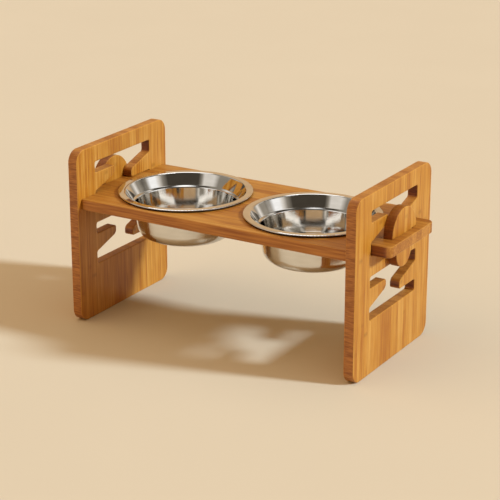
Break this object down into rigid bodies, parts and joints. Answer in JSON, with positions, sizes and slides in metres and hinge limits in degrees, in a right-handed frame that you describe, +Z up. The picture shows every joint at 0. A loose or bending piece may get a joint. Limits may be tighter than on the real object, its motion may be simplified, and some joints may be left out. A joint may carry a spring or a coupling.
{
  "type": "adjustable dog bowl stand",
  "caption": "Raised dog feeder: steel bowls drop into a bamboo shelf whose tenons lock with keys in slotted end panels, at several level or tilted heights.",
  "frame": {"origin": "on the floor, under the middle of the shelf", "axes": "+X along the shelf, +Y from the front to the back of the end panels, +Z up"},
  "size_m": [0.5042, 0.221, 0.252],
  "materials": {
    "bamboo_panel": "satin lacquer",
    "bamboo_shelf": "satin lacquer",
    "bamboo_key": "satin lacquer",
    "bowl_steel": "polished stainless",
    "ring_silicone": "matte"
  },
  "bodies": {
    "stand": {"side_panel_left": "bamboo_panel", "side_panel_right": "bamboo_panel", "bowl_shelf": "bamboo_shelf"},
    "bowl_left": {"bowl_left": "bowl_steel", "bowl_ring_left": "ring_silicone"},
    "bowl_right": {"bowl_right": "bowl_steel", "bowl_ring_right": "ring_silicone"},
    "key_left": {"lock_key_left": "bamboo_key"},
    "key_right": {"lock_key_right": "bamboo_key"}
  },
  "joints": [
    {"name": "bowl_left_lift", "type": "slide", "parent": "stand", "child": "bowl_left", "axis": [0, 0, 1], "range_m": [0, 0.1]},
    {"name": "bowl_right_lift", "type": "slide", "parent": "stand", "child": "bowl_right", "axis": [0, 0, 1], "range_m": [0, 0.1]},
    {"name": "key_left_lift", "type": "slide", "parent": "stand", "child": "key_left", "axis": [0, 0, 1], "range_m": [0, 0.06]},
    {"name": "key_right_lift", "type": "slide", "parent": "stand", "child": "key_right", "axis": [0, 0, 1], "range_m": [0, 0.06]}
  ]
}
